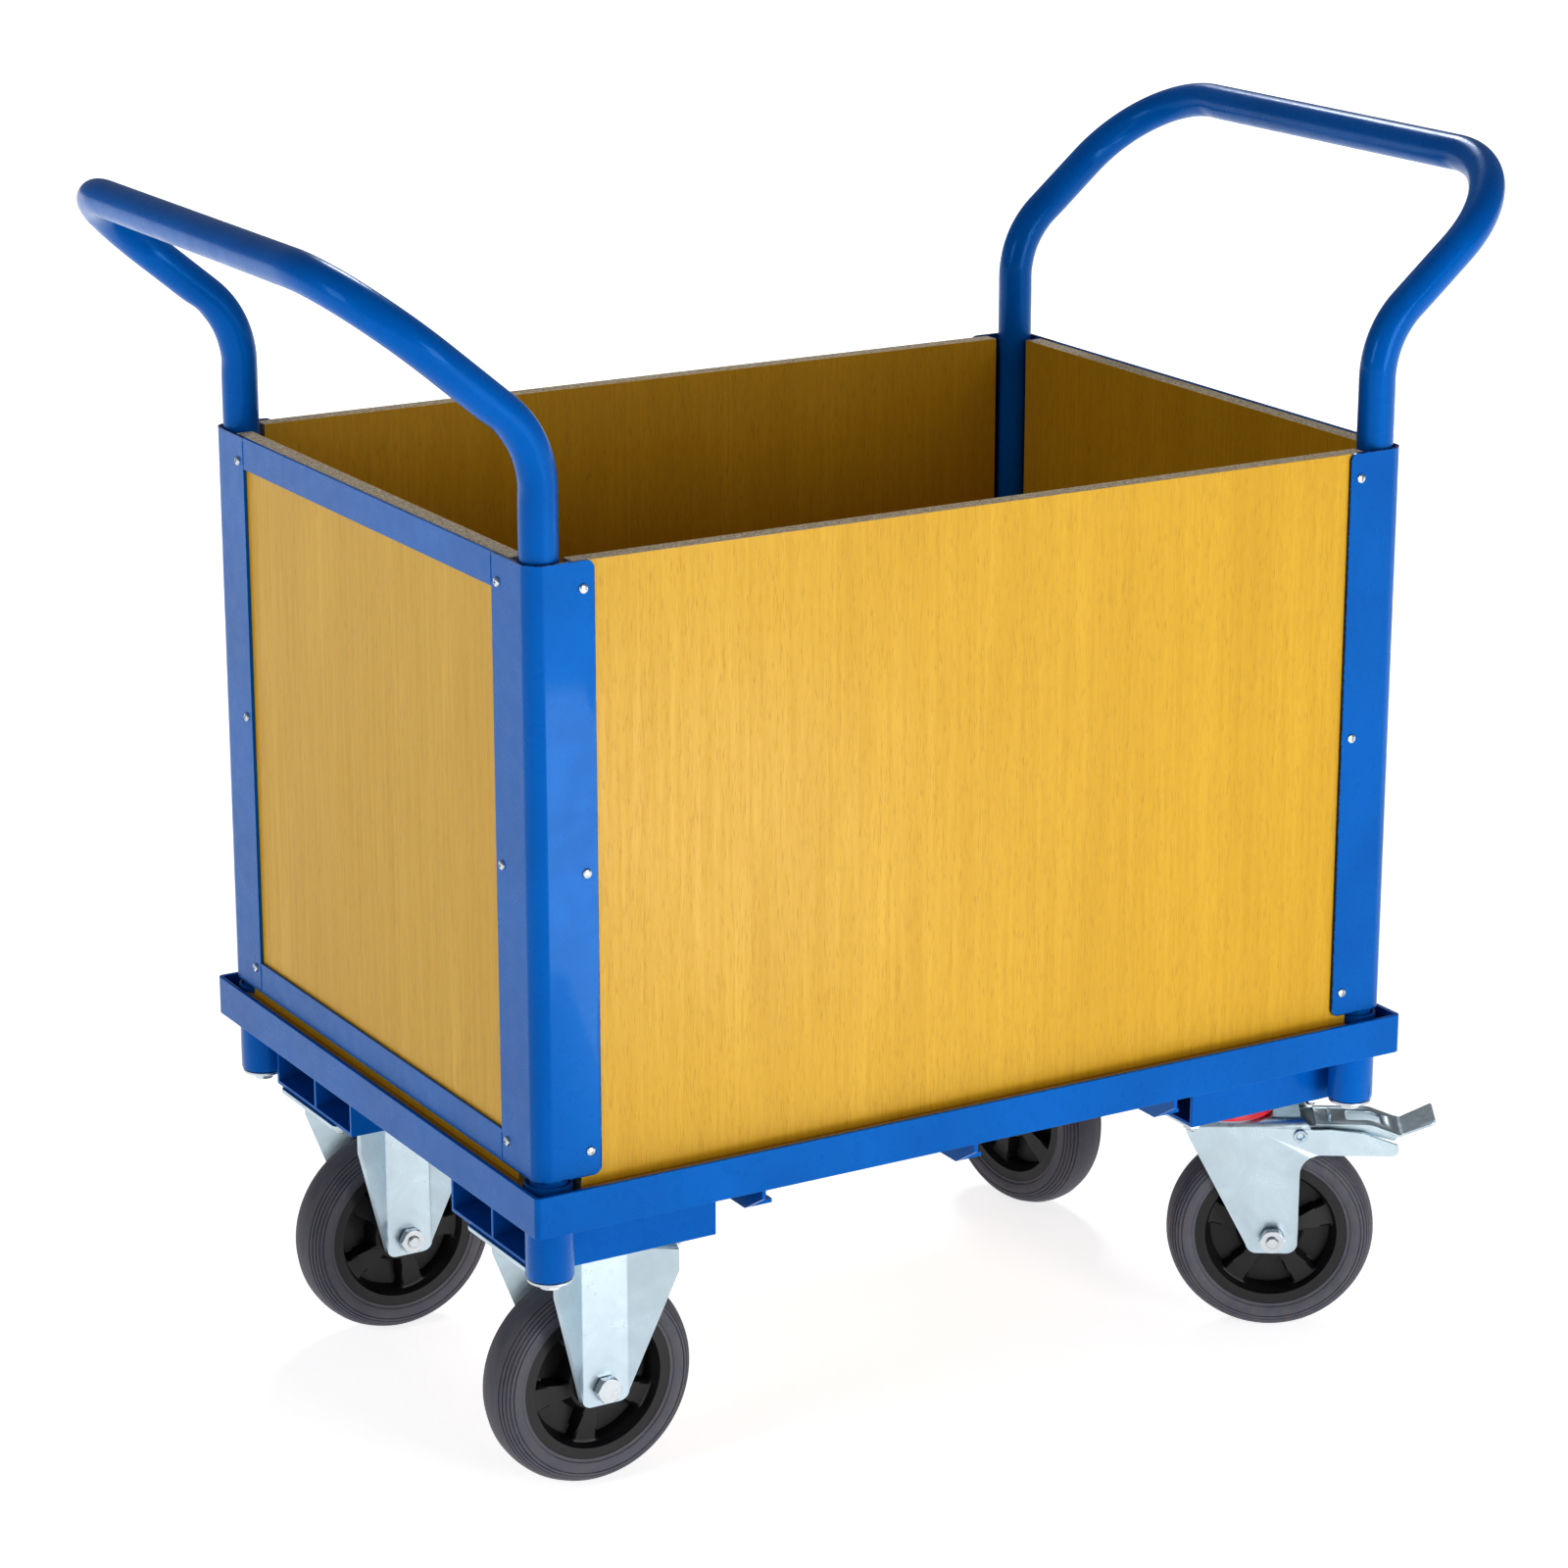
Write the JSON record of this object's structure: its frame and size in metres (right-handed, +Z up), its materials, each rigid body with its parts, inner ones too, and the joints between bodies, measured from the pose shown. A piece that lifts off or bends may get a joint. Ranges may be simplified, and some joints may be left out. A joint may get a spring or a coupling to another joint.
{
  "type": "box trolley",
  "caption": "Platform box trolley: steel base on casters, four wooden walls on steel corner posts, an outward-bent tubular push handle at each end.",
  "frame": {"origin": "on the floor, at the centre of the overall footprint", "axes": "+X along the trolley towards the swivel casters, +Y across it towards the back long side, +Z up"},
  "size_m": [1.225, 0.67, 1.1426],
  "materials": {
    "blue_paint": "glossy powder coat with fine orange peel",
    "wall_board": "satin beech-effect laminate with fine vertical grain",
    "deck_board": "satin laminate",
    "zinc_sheet": "bright bluish zinc plating",
    "zinc_fastener": "bright zinc plating",
    "tyre_rubber": "matte grey rubber",
    "rim_plastic": "black moulded plastic",
    "seal_plastic": "red moulded plastic"
  },
  "bodies": {
    "trolley": {"base_rail_front": "blue_paint", "base_rail_back": "blue_paint", "base_rail_left": "blue_paint", "base_rail_right": "blue_paint", "corner_socket_front_left": "blue_paint", "corner_socket_front_right": "blue_paint", "corner_socket_back_left": "blue_paint", "corner_socket_back_right": "blue_paint", "cross_member_left": "blue_paint", "cross_member_centre": "blue_paint", "cross_member_right": "blue_paint", "caster_bracket_front_left": "blue_paint", "caster_bracket_front_right": "blue_paint", "caster_bracket_back_left": "blue_paint", "caster_bracket_back_right": "blue_paint", "push_handle_left": "blue_paint", "push_handle_right": "blue_paint", "corner_post_front_left": "blue_paint", "corner_post_front_right": "blue_paint", "corner_post_back_left": "blue_paint", "corner_post_back_right": "blue_paint", "end_rail_top_left": "blue_paint", "end_rail_bottom_left": "blue_paint", "end_rail_top_right": "blue_paint", "end_rail_bottom_right": "blue_paint", "side_panel_front": "wall_board", "side_panel_back": "wall_board", "end_panel_left": "wall_board", "end_panel_right": "wall_board", "deck_board": "deck_board", "handle_bolt_front_left": "zinc_fastener", "handle_bolt_front_right": "zinc_fastener", "handle_bolt_back_left": "zinc_fastener", "handle_bolt_back_right": "zinc_fastener", "axle_bolt_front_left": "zinc_fastener", "axle_nut_front_left": "zinc_fastener", "axle_bolt_back_left": "zinc_fastener", "axle_nut_back_left": "zinc_fastener", "fixed_fork_front_left": "zinc_sheet", "fixed_fork_back_left": "zinc_sheet", "caster_plate_front_right": "zinc_sheet", "seal_ring_front_right": "seal_plastic", "caster_plate_back_right": "zinc_sheet", "seal_ring_back_right": "seal_plastic"},
    "wheel_front_left": {"tyre_front_left": "tyre_rubber", "wheel_rim_front_left": "rim_plastic"},
    "wheel_back_left": {"tyre_back_left": "tyre_rubber", "wheel_rim_back_left": "rim_plastic"},
    "fork_front_right": {"swivel_fork_front_right": "zinc_sheet", "axle_bolt_front_right": "zinc_fastener", "axle_nut_front_right": "zinc_fastener"},
    "wheel_front_right": {"tyre_front_right": "tyre_rubber", "wheel_rim_front_right": "rim_plastic"},
    "brake_front_right": {"brake_pedal_front_right": "zinc_sheet"},
    "fork_back_right": {"swivel_fork_back_right": "zinc_sheet", "axle_bolt_back_right": "zinc_fastener", "axle_nut_back_right": "zinc_fastener"},
    "wheel_back_right": {"tyre_back_right": "tyre_rubber", "wheel_rim_back_right": "rim_plastic"},
    "brake_back_right": {"brake_pedal_back_right": "zinc_sheet"}
  },
  "joints": [
    {"name": "wheel_spin_front_left", "type": "hinge", "parent": "trolley", "child": "wheel_front_left", "pos_m": [-0.343, -0.2, 0.1], "axis": [0, 1, 0], "continuous": true},
    {"name": "wheel_spin_back_left", "type": "hinge", "parent": "trolley", "child": "wheel_back_left", "pos_m": [-0.343, 0.2, 0.1], "axis": [0, 1, 0], "continuous": true},
    {"name": "swivel_front_right", "type": "hinge", "parent": "trolley", "child": "fork_front_right", "pos_m": [0.356, -0.204, 0.2295], "axis": [0, 0, 1], "continuous": true},
    {"name": "wheel_spin_front_right", "type": "hinge", "parent": "fork_front_right", "child": "wheel_front_right", "pos_m": [0.39374, -0.22851, 0.1], "axis": [0.5446, 0.8387, 0], "continuous": true},
    {"name": "brake_front_right", "type": "hinge", "parent": "fork_front_right", "child": "brake_front_right", "pos_m": [0.41429, -0.24185, 0.206], "axis": [0.5446, 0.8387, 0], "range_deg": [0, 12]},
    {"name": "swivel_back_right", "type": "hinge", "parent": "trolley", "child": "fork_back_right", "pos_m": [0.356, 0.204, 0.2295], "axis": [0, 0, 1], "continuous": true},
    {"name": "wheel_spin_back_right", "type": "hinge", "parent": "fork_back_right", "child": "wheel_back_right", "pos_m": [0.36381, 0.15968, 0.1], "axis": [0.9848, 0.1736, 0], "continuous": true},
    {"name": "brake_back_right", "type": "hinge", "parent": "fork_back_right", "child": "brake_back_right", "pos_m": [0.36807, 0.13556, 0.206], "axis": [0.9848, 0.1736, 0], "range_deg": [0, 12]}
  ]
}
